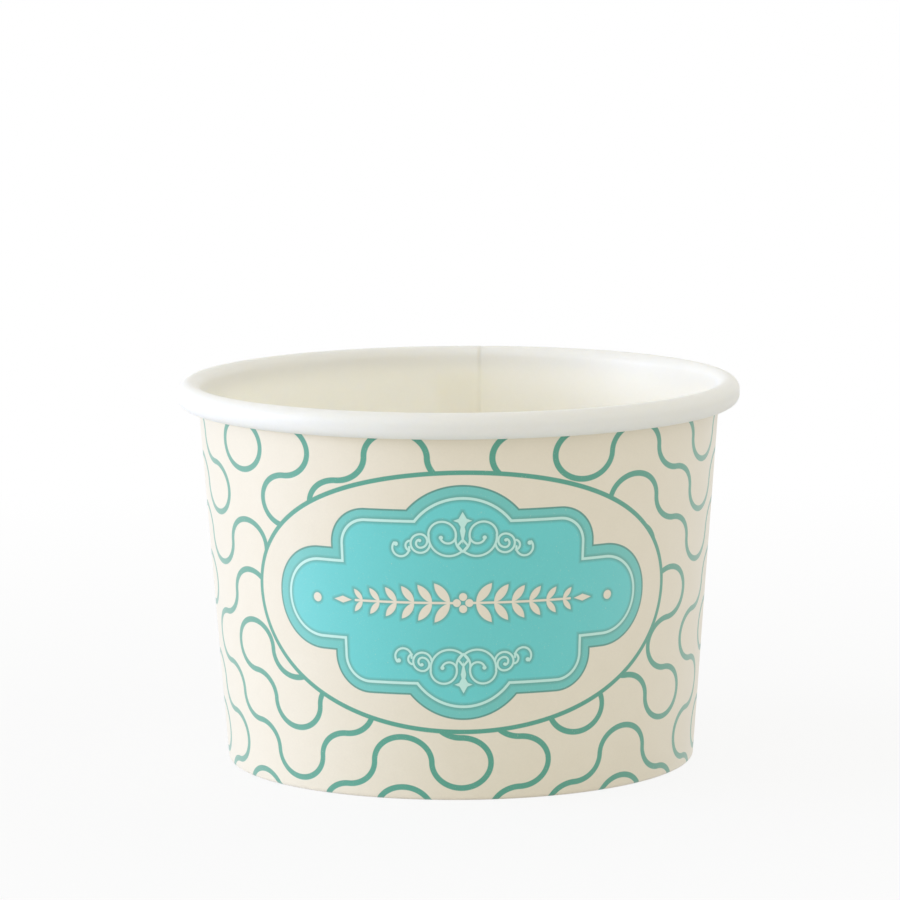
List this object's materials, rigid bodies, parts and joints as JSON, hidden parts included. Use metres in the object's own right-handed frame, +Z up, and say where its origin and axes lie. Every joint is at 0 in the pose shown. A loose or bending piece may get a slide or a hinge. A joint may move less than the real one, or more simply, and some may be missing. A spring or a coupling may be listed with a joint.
{
  "type": "paper dessert cup",
  "caption": "Round tapered paper dessert cup with a rolled rim, a lapped side seam, a hemmed foot and a recessed bottom disc, printed all round.",
  "frame": {"origin": "middle of the foot, on the surface that the cup stands on", "axes": "+Z up along the cup's axis; the printed front faces -Y; the lapped side seam is at +Y"},
  "size_m": [0.09, 0.09, 0.0612],
  "materials": {
    "printed_board": "satin",
    "plain_board": "satin"
  },
  "bodies": {
    "root": {"sidewall": "printed_board", "bottom_disc": "plain_board"}
  },
  "joints": []
}
